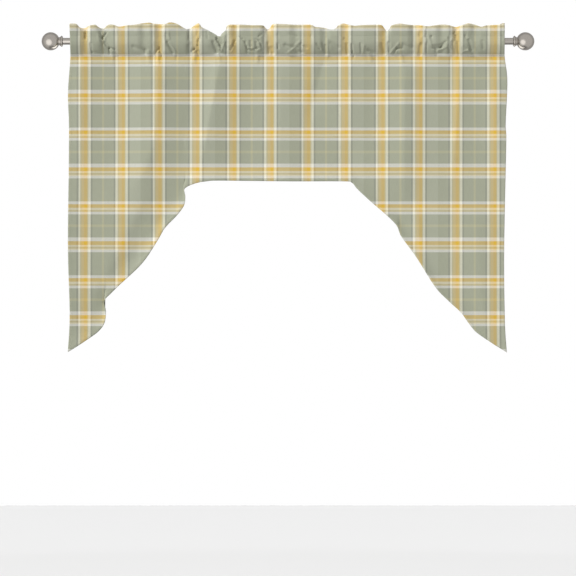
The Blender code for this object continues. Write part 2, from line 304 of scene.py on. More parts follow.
# Troughs pressed into the cloth, or with a negative depth ridges raised from it, each along a
# straight run and as wide on either side as reach says.
CREASE_SHARE = 0.85
Crease = namedtuple("Crease", "x z x_end z_end reach depth")
CREASES = (
    Crease(-565, 22, -565, 8, 7, 5.6),
    Crease(-550, -8, -547, -31, 6, 3.5),
    Crease(-544, -31, -522, -32, 6, 2.6),
    Crease(-516, 8, -505, 23, 5, 3.8),
    Crease(-516, 8, -523, 22, 5, 3.2),
    Crease(-517, 11, -516, 6, 5, 4.2),
    Crease(-529, 15, -526, 1, 5, -1.9),
    Crease(-517, -5, -516, -33, 5, 3.5),
    Crease(-511, -6, -498, -19, 6, 4.2),
    Crease(-498, -19, -484, -23, 5, 3.8),
    Crease(-498, -20, -498, -35, 4, 3.8),
    Crease(-490, -31, -489, -49, 7, -2.4),
    Crease(-483, -24, -471, -41, 5, 3.2),
    Crease(-430, -16, -396, -27, 9, 2.9),
    Crease(-400, -23, -399, -34, 4, 2.6),
    Crease(-389, -30, -388, -52, 9, -3.4),
    Crease(-359, -17, -370, -33, 5, 4.2),
    Crease(-359, -20, -352, -42, 4, 3.8),
    Crease(-362, -31, -362, -52, 7, -3.0),
    Crease(-340, 23, -340, 4, 5, 2.6),
    Crease(-333, 26, -330, 4, 4, -2.2),
    Crease(-335, -3, -320, -31, 8, 5.4),
    Crease(-331, -3, -313, -28, 4, -2.6),
    Crease(-312, -28, -311, -47, 4, 2.9),
    Crease(-276, 26, -276, 4, 5, 2.9),
    Crease(-278, -13, -278, -33, 6, 2.6),
    Crease(-268, -27, -261, -21, 5, 3.8),
    Crease(-261, -21, -254, -28, 5, 3.8),
    Crease(-254, -28, -250, -42, 4, 3.5),
    Crease(-262, -31, -261, -52, 8, -3.2),
    Crease(-249, 4, -251, -13, 5, 3.2),
    Crease(-251, -13, -248, -31, 5, 2.9),
    Crease(-246, 20, -254, 1, 4, -2.1),
    Crease(-252, 27, -252, 16, 6, 2.9),
    Crease(-226, 26, -223, 8, 6, 1.9),
    Crease(-204, 6, -195, -10, 4, -3.2),
    Crease(-195, -10, -191, -23, 4, -3.2),
    Crease(-191, -23, -185, -27, 4, -2.9),
    Crease(-185, -27, -179, -10, 4, -2.9),
    Crease(-179, -10, -178, 15, 4, -2.6),
    Crease(-198, 6, -186, -9, 8, 5.1),
    Crease(-209, -3, -199, -30, 7, 3.5),
    Crease(-172, -5, -172, -35, 5, 3.2),
    Crease(-195, -37, -190, -49, 8, -2.8),
    Crease(-148, 1, -153, -10, 4, 3.8),
    Crease(-153, -10, -160, -24, 4, 4.2),
    Crease(-156, 2, -157, -10, 4, -1.9),
    Crease(-134, 11, -128, 6, 4, 3.2),
    Crease(-128, 6, -119, -3, 4, 3.5),
    Crease(-119, -3, -115, -17, 5, 3.5),
    Crease(-115, -17, -114, -33, 5, 3.2),
    Crease(-104, -2, -103, -16, 6, 2.9),
    Crease(-112, -19, -98, -20, 4, -2.2),
    Crease(-112, -24, -95, -25, 4, 2.9),
    Crease(-89, -5, -87, -19, 7, 3.5),
    Crease(-89, -20, -81, -20, 4, 3.2),
    Crease(-92, 4, -81, 1, 3.5, 2.2),
    Crease(-81, 1, -75, -10, 3.5, 2.9),
    Crease(-75, -10, -72, -26, 4, 2.9),
    Crease(-81, 12, -73, 20, 4, 2.9),
    Crease(-85, -27, -86, -52, 9, -3.2),
    Crease(-65, 40, -59, 29, 5, 2.6),
    Crease(-55, -5, -53, -33, 6, 3.5),
    Crease(-47, -20, -42, -33, 9, 5.4),
    Crease(-29, 23, -29, 9, 4, 2.2),
    Crease(-29, -9, -28, -21, 5, 3.2),
    Crease(6, 20, 24, 13, 6, 2.2),
    Crease(-7, -12, 17, -19, 9, 3.8),
    Crease(0, -33, 15, -22, 5, -3.2),
    Crease(15, -22, 32, -2, 6, -2.6),
    Crease(22, -28, 42, -31, 7, 2.9),
    Crease(36, -8, 36, -30, 5, 2.9),
    Crease(45, -15, 52, -18, 7, 3.2),
    Crease(63, 14, 64, 9, 4, 2.2),
    Crease(80, -9, 89, -21, 5, 3.5),
    Crease(96, -6, 98, -24, 4, 3.5),
    Crease(103, -12, 102, -35, 5, 3.8),
    Crease(110, 4, 111, -41, 4.5, -3.2),
    Crease(120, -6, 140, -20, 8, 3.2),
    Crease(157, 7, 158, 5, 4, 3.5),
    Crease(163, 3, 164, 0, 4, 2.9),
    Crease(165, -9, 166, -34, 8, 4.5),
    Crease(177, -10, 179, -30, 5, 3.8),
    Crease(179, -30, 183, -42, 5, 3.5),
    Crease(202, -8, 204, -33, 5, 2.6),
    Crease(212, -13, 208, -35, 4, -2.2),
    Crease(223, -24, 238, -32, 6, 3.8),
    Crease(225, -37, 232, -49, 9, -3.2),
    Crease(262, -10, 268, -33, 9, 3.2),
    Crease(280, -5, 282, -30, 6, 4.2),
    Crease(288, -31, 308, -8, 5, -2.9),
    Crease(292, -33, 304, -19, 5, 3.8),
    Crease(304, -18, 318, -19, 7, 4.2),
    Crease(303, -27, 303, -33, 5, -2.6),
    Crease(310, -30, 319, -52, 9, -3.2),
    Crease(322, -10, 343, -19, 8, 3.2),
    Crease(368, 22, 368, 15, 8, 4.2),
    Crease(361, 6, 367, -6, 7, -2.6),
    Crease(370, -10, 368, -35, 10, 5.4),
    Crease(384, 27, 384, 11, 5, 3.2),
    Crease(385, -8, 385, -35, 5, 3.5),
    Crease(399, 13, 400, 9, 4, 3.2),
    Crease(390, 15, 400, -15, 4, -2.2),
    Crease(405, -17, 425, -16, 9, 4.5),
    Crease(425, -16, 439, -3, 7, 3.5),
    Crease(412, -21, 412, -37, 6, 3.5),
    Crease(417, -28, 441, -17, 5, -2.2),
    Crease(424, -40, 449, -44, 10, -3.2),
    Crease(448, 9, 448, -33, 5, 2.9),
    Crease(470, 29, 460, 21, 4, 2.9),
    Crease(460, 21, 469, 15, 4, 2.9),
    Crease(467, 13, 468, 8, 5, 3.8),
    Crease(452, 12, 462, 5, 3.5, -1.9),
    Crease(458, -2, 458, -19, 6, 3.8),
    Crease(473, -2, 476, -41, 4, 2.9),
    Crease(494, 15, 495, 9, 5, 2.6),
    Crease(504, 1, 511, -24, 8, 3.8),
    Crease(491, -29, 501, -26, 4, -2.9),
    Crease(501, -26, 513, -37, 4, -2.9),
    Crease(494, -33, 502, -34, 4, 2.6),
    Crease(541, -2, 544, -19, 8, 2.6),
    Crease(575, -42, 576, -47, 6, 2.2),
)

# ---------------------------------------------------------------- the rod and its finials

ROD_RADIUS = 9.5
ROD_WALL = 0.8
ROD_HALF_LENGTH = 644.7
ROD_SIDES = 96
BALL_RADIUS = 25.3
BALL_CENTRE = 662.0
BALL_RINGS = 40
SOCKET_GAP = 0.3
COLLAR_END = 628.0
NECK_RADIUS = 11.0

Turning = namedtuple("Turning", "along radius")
COLLAR = (
    Turning(COLLAR_END, 11.6),
    Turning(COLLAR_END + 0.2, 12.2),
    Turning(COLLAR_END + 0.8, 13.4),
    Turning(COLLAR_END + 1.6, 14.4),
    Turning(COLLAR_END + 2.5, 15.1),
    Turning(COLLAR_END + 3.5, 15.4),
    Turning(COLLAR_END + 4.5, 15.1),
    Turning(COLLAR_END + 5.4, 14.3),
    Turning(COLLAR_END + 6.2, 13.4),
    Turning(COLLAR_END + 7.0, 12.9),
    Turning(COLLAR_END + 8.2, 12.7),
    Turning(COLLAR_END + 8.9, 12.2),
    Turning(COLLAR_END + 9.3, NECK_RADIUS),
)

# ---------------------------------------------------------------- the plaid

# One repeat of the stripes, as widths in millimetres of each yarn colour.
Stripe = namedtuple("Stripe", "width yarn")
WARP_START = -589.8
WARP = (
    Stripe(5.0, "dark"),
    Stripe(5.3, "ivory"),
    Stripe(3.6, "olive"),
    Stripe(6.4, "sand"),
    Stripe(9.2, "gold"),
    Stripe(3.4, "straw"),
    Stripe(6.4, "ivory"),
    Stripe(4.5, "dark"),
    Stripe(26.8, "sage"),
    Stripe(6.1, "lemon"),
    Stripe(26.8, "sage"),
    Stripe(4.2, "dark"),
    Stripe(7.0, "ivory"),
    Stripe(4.2, "olive"),
    Stripe(6.7, "sand"),
    Stripe(8.4, "gold"),
    Stripe(2.8, "straw"),
    Stripe(6.1, "ivory"),
    Stripe(4.5, "dark"),
    Stripe(31.0, "pale"),
    Stripe(28.9, "sage"),
)
WEFT_START = -25.1
WEFT = (
    Stripe(10.2, "white"),
    Stripe(10.0, "gold"),
    Stripe(4.8, "cream"),
    Stripe(5.8, "tan"),
    Stripe(3.2, "cream"),
    Stripe(6.8, "white"),
    Stripe(64.0, "sage"),
    Stripe(8.0, "white"),
    Stripe(10.0, "gold"),
    Stripe(6.2, "cream"),
    Stripe(5.0, "tan"),
    Stripe(7.1, "white"),
    Stripe(28.2, "sage"),
    Stripe(7.5, "lemon"),
    Stripe(29.2, "sage"),
)
YARNS = {
    "sage": (167, 170, 150),
    "pale": (181, 184, 165),
    "dark": (141, 143, 132),
    "white": (237, 235, 230),
    "ivory": (237, 234, 212),
    "cream": (242, 229, 195),
    "olive": (205, 189, 142),
    "sand": (221, 191, 122),
    "straw": (216, 200, 150),
    "gold": (225, 184, 74),
    "tan": (210, 190, 138),
    "lemon": (190, 186, 152),
}
CLOTH_TONE = 0.9
# Cloth that the puffs take up between the pocket's seam and the heading's top, in millimetres.
TAKEN_UP = 2.8
YARN_PITCH = 0.9


def linear(rgb):
    """A colour given from 0 to 255 as the eye sees it, as linear light."""
    shown = np.array(rgb, float) / 255.0
    return tuple(np.where(shown <= 0.04045, shown / 12.92, ((shown + 0.055) / 1.055) ** 2.4))


# ---------------------------------------------------------------- small mathematics


def bump(offset, reach):
    """1 where offset is 0, easing to 0 at reach on either side."""
    return 0.5 + 0.5 * np.cos(pi * np.clip(np.abs(offset) / reach, 0.0, 1.0))


def ease(value):
    """0 below 0, 1 above 1, and a smooth step between."""
    held = np.clip(value, 0.0, 1.0)
    return held * held * (3.0 - 2.0 * held)


def smooth_curve(points, samples):
    """A Catmull-Rom curve through rows of numbers, with that many samples a stretch."""
    known = np.array(points, float)
    known = np.vstack([2 * known[0] - known[1], known, 2 * known[-1] - known[-2]])
    t = np.linspace(0.0, 1.0, samples, endpoint=False)[:, None]
    pieces = []
    for before, start, end, after in zip(known, known[1:], known[2:], known[3:]):
        pieces.append(
            start
            + 0.5 * t * (end - before)
            + 0.5 * t**2 * (2 * before - 5 * start + 4 * end - after)
            + 0.5 * t**3 * (3 * start - before - 3 * end + after)
        )
    return np.vstack([*pieces, known[-2:-1]])


def lengths_along(points):
    steps = np.diff(points, axis=0)
    return np.concatenate([[0.0], np.cumsum(np.linalg.norm(steps, axis=1))])


def evenly_along(points, count):
    """The curve again, as that many points evenly spaced along it."""
    along = lengths_along(points)
    wanted = np.linspace(0.0, along[-1], count)
    return np.stack([np.interp(wanted, along, column) for column in points.T], axis=1)


# ---------------------------------------------------------------- the hanging sheet


def hem_line():
    """The lower edge as (x, z), with x always growing a little from point to point."""
    curve = smooth_curve(HEM, HEM_SAMPLES)
    curve[:, 0] = np.maximum.accumulate(curve[:, 0]) + np.arange(len(curve)) * HEM_ADVANCE
    return curve


def column_positions(hem):
    """The x of each column of the sheet, closer together where the hem is steep."""
    steps = np.diff(hem, axis=0)
    along = np.hypot(steps[:, 0], steps[:, 1])
    share = HEM_LENGTH_SHARE * along / along.sum()
    share += (1.0 - HEM_LENGTH_SHARE) * steps[:, 0] / steps[:, 0].sum()
    reached = np.concatenate([[0.0], np.cumsum(share)])
    return np.interp(np.linspace(0.0, 1.0, COLUMNS), reached / reached[-1], hem[:, 0])


def heading_top(x):
    """The height of the heading's ruffled edge."""
    edge = smooth_curve(HEADING_EDGE, HEADING_SAMPLES)
    return np.maximum(np.interp(x, edge[:, 0], edge[:, 1]), stitch_height(x) + HEADING_LEAST)


def stitch_height(x):
    """The heading's stitch line, which drops a little where the heading falls into a valley."""
    return HEADING_STITCH_Z - VALLEY_DROP * bump(x - VALLEY_X, VALLEY_REACH)


def puff(x):
    """How full the pocket's ripple is at x: 1 between the gathers, and less at each."""
    left = 1.0
    for gather in GATHERS:
        left = left * (1.0 - gather.pull * bump(x - gather.x, gather.reach))
    return left


def flank(offset, reach):
    """1 at a fold's crest, which is round only near its top, falling to 0 at reach."""
    away = np.hypot(offset, CREST_RADIUS) - CREST_RADIUS
    return np.clip(1.0 - away / reach, 0.0, 1.0) ** FLANK_POWER


def fold_depth(x, z):
    """How far forward the folds bring the cloth at x, z."""
    total = 0.0
    for fold in FOLDS:
        down = (fold.z_from - z) / (fold.z_from - fold.z_to)
        run = np.clip(down, 0.0, 1.0) ** fold.bend
        offset = x - (fold.x_top + (fold.x_low - fold.x_top) * run)
        side = flank(offset, np.where(offset < 0.0, fold.left, fold.right))
        start = SEAM_SHARE + (1.0 - SEAM_SHARE) * ease(down / SEAM_EASE)
        if fold.z_from < POCKET_SEAM_Z:
            start = ease(down / (2.0 * SEAM_EASE))
        fade = 1.0 - ease((down - FADE_FROM) / FADE_OVER)
        total = total + fold.depth * start * fade * side
    return total


def crease_depth(x, z):
    """How far back the creases press the cloth at x, z."""
    total = 0.0 * (x + z)
    for crease in CREASES:
        run_x = crease.x_end - crease.x
        run_z = crease.z_end - crease.z
        share = ((x - crease.x) * run_x + (z - crease.z) * run_z) / (run_x**2 + run_z**2)
        share = np.clip(share, 0.0, 1.0)
        away = np.hypot(x - crease.x - share * run_x, z - crease.z - share * run_z)
        total += CREASE_SHARE * crease.depth * bump(away, crease.reach)
    return total


def body_rows(x, hem_z, hem_slope):
    """(y, z) of each row of the single layer: close rows over the hem, then up to the seam."""
    rows = []
    stretch = np.sqrt(1.0 + np.minimum(np.abs(hem_slope), HEM_STEEPEST) ** 2)
    levels = [hem_z + level * stretch for level in HEM_LEVELS]
    start = hem_z + BODY_FROM * stretch
    for row in range(BODY_ROWS):
        share = 1.0 - (1.0 - row / BODY_ROWS) ** BODY_ROWS_CROWD
        levels.append(start + (POCKET_SEAM_Z - start) * share)
    for z in levels:
        curl = HEM_CURL * (1.0 - ease((z - hem_z) / HEM_CURL_REACH))
        rows.append((-STITCH_HALF_GAP - fold_depth(x, z) - curl + crease_depth(x, z), z))
    return rows


def pocket_rows(x, side, count):
    """(y, z) down one layer of the pocket, from the heading stitch to the seam, both included."""
    stations = [(HEADING_STITCH_Z, HEADING_STITCH_Y + side * STITCH_HALF_GAP, STITCH_RIPPLE)]
    for station in POCKET:
        if side < 0:
            stations.append((station.z, station.front, station.front_ripple))
        else:
            stations.append((station.z, station.back, station.back_ripple))
    stations.append((POCKET_SEAM_Z, side * STITCH_HALF_GAP, 0.0))
    section = evenly_along(smooth_curve(stations, POCKET_SAMPLES), count)
    ripple = RIPPLE_DEPTH * puff(x)
    seam_y = -fold_depth(x, POCKET_SEAM_Z)
    at_stitch = crease_depth(x, stitch_height(x))
    at_seam = crease_depth(x, POCKET_SEAM_Z)
    drop = stitch_height(x) - HEADING_STITCH_Z
    rows = []
    for from_stitch, (z, y, share) in zip(lengths_along(section[:, :2]), section):
        hang = ease((POCKET_STRAIGHT_ABOVE_Z - z) / (POCKET_STRAIGHT_ABOVE_Z - POCKET_SEAM_Z))
        near_stitch = bump(from_stitch, STITCH_DENT_REACH)
        y = y + ripple * share + hang * seam_y
        z = z + drop * near_stitch
        if side < 0:
            rod = np.sqrt(np.maximum(0.0, (ROD_RADIUS + ROD_CLEARANCE) ** 2 - z**2))
            y = np.minimum(y + crease_depth(x, z), -rod)
        else:
            y = y + at_stitch * near_stitch
            y = y + at_seam * bump(z - POCKET_SEAM_Z, STITCH_DENT_REACH)
        rows.append((y, z))
    return rows


def turning_rows(x):
    """(y, z) of the back layer's end, which hangs behind the single layer below the seam."""
    rows = []
    for share in TURNING_SHARES:
        z = POCKET_SEAM_Z - share * TURNING_BELOW_SEAM
        rows.append((STITCH_HALF_GAP - fold_depth(x, z) + crease_depth(x, z), z + 0.0 * x))
    return rows


def heading_rows(x):
    """(y, z) over the heading: up the front from just above the stitch, round the fold, down."""
    top = heading_top(x)
    foot_z = stitch_height(x)
    foot_y = HEADING_STITCH_Y + STITCH_RIPPLE * RIPPLE_DEPTH * puff(x)
    lean = HEADING_LEAN + LEAN_PER_DIP * (HEADING_TOP_Z - top) - HEADING_WAVE * (puff(x) - 0.5)
    rise = top - foot_z
    length = np.hypot(rise, lean)
    up_y, up_z = lean / length, rise / length
    half_gap = np.minimum(HEADING_HALF_GAP, HEADING_GAP_SHARE * length)
    wide = STITCH_HALF_GAP / HEADING_HALF_GAP
    rows = []
    for facing, count in ((1, HEADING_FRONT_ROWS), (0, 0), (-1, HEADING_BACK_ROWS)):
        climb = [0.5 * (1.0 - np.cos(pi * k / (count + 1))) for k in range(1, count + 1)] or [1.0]
        for share in climb[::facing] if facing else climb:
            gap = facing * (wide + (1.0 - wide) * np.sin(pi * share)) * half_gap
            z = foot_z + rise * share + up_y * gap
            y = foot_y + lean * share - up_z * gap
            rows.append((y + crease_depth(x, z), z))
    return rows


def with_edge_waves(x, z):
    """The x of every point, moved to follow the wavy side edges and the nudges."""
    shifted = np.broadcast_to(x, z.shape).copy()
    for table, straight in ((LEFT_EDGE, x[0]), (RIGHT_EDGE, x[-1])):
        edge = smooth_curve(table, SIDE_SAMPLES)
        shift = np.interp(z, edge[:, 0], edge[:, 1]) - straight
        shifted += shift * bump(x - straight, EDGE_REACH)
    for nudge in NUDGES:
        near = bump(x - nudge.x, nudge.reach_x) * bump(z - nudge.z, nudge.reach_z)
        shifted += nudge.shift * near
    return shifted


def hanging_sheet():
    """The middle of the sheet (rows, columns, 3) in millimetres, and the rows where it is sewn."""
    hem = hem_line()
    x = column_positions(hem)
    hem_z = np.interp(x, hem[:, 0], hem[:, 1])
    slope = np.gradient(hem_z, x)
    body = body_rows(x, hem_z, slope)
    front = pocket_rows(x, -1.0, POCKET_ROWS)
    heading = heading_rows(x)
    back = pocket_rows(x, 1.0, BACK_POCKET_ROWS)
    rows = body + front[::-1] + heading + back + turning_rows(x)
    y = np.array([row[0] for row in rows])
    z = np.array([row[1] for row in rows])
    middle = np.stack([with_edge_waves(x, z), y, z], axis=-1)
    seams = {
        "front_seam": len(body),
        "front_stitch": len(body) + len(front) - 1,
        "top": len(body) + len(front) + HEADING_FRONT_ROWS,
        "back_stitch": len(body) + len(front) + len(heading),
        "back_seam": len(body) + len(front) + len(heading) + len(back) - 1,
    }
    return middle, seams


def flat_places(middle, seams):
    """Where each point lies on the flat cloth: across it, and down it from the heading's fold."""
    rows = middle.shape[0]
    down = HEADING_TOP_Z - middle[..., 2]
    for first, last in (
        (seams["front_seam"], seams["front_stitch"]),
        (seams["back_stitch"], seams["back_seam"]),
    ):
        run = middle[first : last + 1, :, 1:]
        step = np.linalg.norm(np.diff(run, axis=0), axis=-1)
        reached = np.vstack([np.zeros(step.shape[1]), np.cumsum(step, axis=0)])
        share = reached / reached[-1]
        down[first : last + 1] = down[first] + (down[last] - down[first]) * share
    above_seam = np.clip(1.0 - down / down[seams["front_seam"]], 0.0, 1.0)
    down = down - TAKEN_UP * above_seam
    facing = np.where(np.arange(rows) > seams["top"], -1.0, 1.0)[:, None]
    return np.stack([middle[..., 0], down * facing, 0.0 * down], axis=-1)


def sheet_normals(middle):
    down = np.gradient(middle, axis=0)
    across = np.gradient(middle, axis=1)
    normal = np.cross(across, down)
    return normal / np.linalg.norm(normal, axis=-1, keepdims=True)


def hem_share(middle, seams):
    """1 over the turned hems along the lower edge and the sides, 0 elsewhere."""
    x = middle[..., 0]
    share = np.zeros(middle.shape[:2])
    share[: len(HEM_LEVELS) - 1] = 1.0
    side = np.minimum(np.abs(x - x[:, :1]), np.abs(x - x[:, -1:]))
    return np.maximum(share, ease((HEM_WIDTH + 0.5 * HEM_SHOULDER - side) / HEM_SHOULDER))


def sheet_mesh(name, middle, seams, flat, surface):
    """The sheet as a closed skin round its middle, thicker at the back over the hems."""
    rows, columns, _ = middle.shape
    normal = sheet_normals(middle)
    half = 0.5 * CLOTH_THICKNESS
    turned = (HEM_THICKNESS - CLOTH_THICKNESS) * hem_share(middle, seams)[..., None]
    skins = (middle + half * normal, middle - (half + turned) * normal)
    points = np.concatenate([skin.reshape(-1, 3) for skin in skins]) * MM
    corner = np.arange(rows * columns).reshape(rows, columns)
    quad = np.stack([corner[:-1, :-1], corner[:-1, 1:], corner[1:, 1:], corner[1:, :-1]], axis=-1)
    quads = quad.reshape(-1, 4)
    rim = np.concatenate([corner[0], corner[1:, -1], corner[-1, -2::-1], corner[-2:0:-1, 0]])
    rim_next = np.roll(rim, -1)
    below = rows * columns
    rim_quads = np.stack([rim, rim + below, rim_next + below, rim_next], axis=-1)
    faces = np.concatenate([quads, quads[:, ::-1] + below, rim_quads])
    mesh = bpy.data.meshes.new(name)
    mesh.from_pydata(points.tolist(), [], faces.tolist())
    mesh.shade_smooth()
    places = np.concatenate([flat.reshape(-1, 3)] * 2) * MM
    layer = mesh.attributes.new("flat", "FLOAT_VECTOR", "POINT")
    layer.data.foreach_set("vector", places.astype(np.float32).ravel())
    mesh.materials.append(surface)
    obj = bpy.data.objects.new(name, mesh)
    bpy.context.scene.collection.objects.link(obj)
    return obj


# ---------------------------------------------------------------- stitching

THREAD_RADIUS = 0.17
STITCH_LENGTH = 2.5
STITCH_PITCH = 3.3
STITCH_SIDES = 6
HEM_STITCH_ROW = 1.8
SIDE_STITCH_IN = 5.5

# The rings of one stitch, from where it leaves the cloth to where it dips in again: the share of
# half its length, then how far it stands above the cloth and how thick it is, in thread radii.
StitchRing = namedtuple("StitchRing", "along rise thick")
STITCH_RINGS = (
    StitchRing(-1.0, -1.6, 0.35),
    StitchRing(-0.75, -0.1, 0.9),
    StitchRing(0.0, 0.5, 1.0),
    StitchRing(0.75, -0.1, 0.9),
    StitchRing(1.0, -1.6, 0.35),
)


def stitch_frames(points, normals):
    """Place, direction and facing of each stitch along a line on the cloth."""
    along = lengths_along(points)
    wanted = np.arange(STITCH_PITCH, along[-1] - STITCH_PITCH, STITCH_PITCH)
    place = np.stack([np.interp(wanted, along, column) for column in points.T], axis=1)
    facing = np.stack([np.interp(wanted, along, column) for column in normals.T], axis=1)
    facing /= np.linalg.norm(facing, axis=1, keepdims=True)
    ahead = np.stack([np.interp(wanted + 1.0, along, column) for column in points.T], axis=1)
    ahead -= place
    ahead /= np.linalg.norm(ahead, axis=1, keepdims=True)
    facing -= ahead * (facing * ahead).sum(axis=1, keepdims=True)
    return place, ahead, facing / np.linalg.norm(facing, axis=1, keepdims=True)


def make_stitching(middle, seams, surface):
    """Rows of machine stitches: the heading's, the pocket seam's, and those of the hems."""
    normal = sheet_normals(middle)
    skin = middle + 0.5 * CLOTH_THICKNESS * normal
    low = int(HEM_STITCH_ROW)
    share = HEM_STITCH_ROW - low
    lines = [(skin[low] * (1.0 - share) + skin[low + 1] * share, normal[low])]
    for seam in ("front_seam", "front_stitch"):
        lines.append((skin[seams[seam]], normal[seams[seam]]))
    across = np.abs(middle[0, :, 0] - middle[0, 0, 0])
    left = int(np.searchsorted(across, SIDE_STITCH_IN))
    right = int(np.searchsorted(across, across[-1] - SIDE_STITCH_IN))
    up_to_heading = slice(seams["front_stitch"])
    for column in (left, right):
        lines.append((skin[up_to_heading, column], normal[up_to_heading, column]))

    points, faces = [], []
    turns = 2.0 * pi * np.arange(STITCH_SIDES) / STITCH_SIDES
    ring_faces = []
    for ring in range(len(STITCH_RINGS) - 1):
        for side in range(STITCH_SIDES):
            here, there = ring * STITCH_SIDES, (ring + 1) * STITCH_SIDES
            after = (side + 1) % STITCH_SIDES
            ring_faces.append((here + side, here + after, there + after, there + side))
    last = (len(STITCH_RINGS) - 1) * STITCH_SIDES
    caps = [tuple(range(STITCH_SIDES - 1, -1, -1)), tuple(range(last, last + STITCH_SIDES))]
    for line, facing in lines:
        for place, ahead, up in zip(*stitch_frames(line, facing)):
            side = np.cross(ahead, up)
            start = len(points)
            for ring in STITCH_RINGS:
                centre = place + ahead * ring.along * 0.5 * STITCH_LENGTH
                centre = centre + up * ring.rise * THREAD_RADIUS
                for turn in turns:
                    spoke = np.cos(turn) * side + np.sin(turn) * up
                    points.append((centre + spoke * ring.thick * THREAD_RADIUS) * MM)
            faces.extend(tuple(corner + start for corner in face) for face in ring_faces + caps)
    mesh = bpy.data.meshes.new("stitching")
    mesh.from_pydata(points, [], faces)
    mesh.shade_smooth()
    mesh.materials.append(surface)
    obj = bpy.data.objects.new("stitching", mesh)
    bpy.context.scene.collection.objects.link(obj)
    return obj


# ---------------------------------------------------------------- turned metal

SAME_PLACE = 1e-7
METAL_SHARP_ANGLE = 0.7
ROD_END_BEVEL = 0.2
SOCKET_MOUTH_BEVEL = 0.4


def turned(name, profile, surface, closed):
    """A profile of (along, radius) spun round the rod's axis, its last end joined if closed."""
    bm = bmesh.new()
    points = [bm.verts.new((along * MM, 0.0, radius * MM)) for along, radius in profile]
    ends = points[1:] + points[:1] if closed else points[1:]
    edges = [bm.edges.new(pair) for pair in zip(points, ends)]
    bmesh.ops.spin(
        bm,
        geom=points + edges,
        cent=(0.0, 0.0, 0.0),
        axis=(1.0, 0.0, 0.0),
        angle=2.0 * pi,
        steps=ROD_SIDES,
        use_merge=True,
    )
    bmesh.ops.remove_doubles(bm, verts=bm.verts, dist=SAME_PLACE)
    bmesh.ops.recalc_face_normals(bm, faces=bm.faces)
    mesh = bpy.data.meshes.new(name)
    bm.to_mesh(mesh)
    bm.free()
    mesh.shade_smooth()
    mesh.set_sharp_from_angle(angle=METAL_SHARP_ANGLE)
    mesh.materials.append(surface)
    obj = bpy.data.objects.new(name, mesh)
    bpy.context.scene.collection.objects.link(obj)
    return obj


def make_rod(surface):
    inner = ROD_RADIUS - ROD_WALL
    section = (
        (-ROD_HALF_LENGTH, inner),
        (-ROD_HALF_LENGTH, ROD_RADIUS - ROD_END_BEVEL),
        (-ROD_HALF_LENGTH + ROD_END_BEVEL, ROD_RADIUS),
        (ROD_HALF_LENGTH - ROD_END_BEVEL, ROD_RADIUS),
        (ROD_HALF_LENGTH, ROD_RADIUS - ROD_END_BEVEL),
        (ROD_HALF_LENGTH, inner),
    )
    return turned("curtain_rod", section, surface, closed=True)


def make_finial(name, side, surface):
    """A ball, a neck and a collar in one turning, with the socket that takes the rod's end."""
    neck_angle = pi - np.arcsin(NECK_RADIUS / BALL_RADIUS)
    ball = [
        (BALL_CENTRE + BALL_RADIUS * np.cos(a), BALL_RADIUS * np.sin(a))
        for a in np.linspace(0.0, neck_angle, BALL_RINGS)
    ]
    ball[0] = (BALL_CENTRE + BALL_RADIUS, 0.0)
    collar = [(point.along, point.radius) for point in reversed(COLLAR)]
    socket_radius = ROD_RADIUS + SOCKET_GAP
    socket_end = ROD_HALF_LENGTH + SOCKET_GAP
    mouth = [
        (COLLAR_END, socket_radius + SOCKET_MOUTH_BEVEL),
        (COLLAR_END + SOCKET_MOUTH_BEVEL, socket_radius),
    ]
    socket = [*mouth, (socket_end, socket_radius), (socket_end, 0.0)]
    profile = [(side * along, radius) for along, radius in ball + collar + socket]
    return turned(name, profile, surface, closed=False)


# ---------------------------------------------------------------- materials

# The weave, and the slubs that make its yarns uneven. A height is in metres.
WEAVE_SWING = 0.2
WEAVE_BUMP = 0.35
WEAVE_HEIGHT = 0.0002
SLUB_SCALE = (900.0, 60.0, 1.0)
SLUB_DEPTH = 0.16
# The sewing thread's twist, and the painted shade that darkens its grooves.
TWIST_SCALE = 900.0
TWIST_BUMP = 0.3
TWIST_HEIGHT = 0.0001
THREAD_GROOVE_SHADE = 0.8
# The nickel's fine grain, drawn out along the rod.
GRAIN_SCALE = (25.0, 1800.0, 1800.0)
GRAIN_BUMP = 0.12
GRAIN_HEIGHT = 0.00005
NICKEL_SMOOTHEST = 0.14
NICKEL_UNEVEN = 0.1
NICKEL_DARK = (0.45, 0.43, 0.40)
NICKEL_PALE = (0.52, 0.49, 0.46)


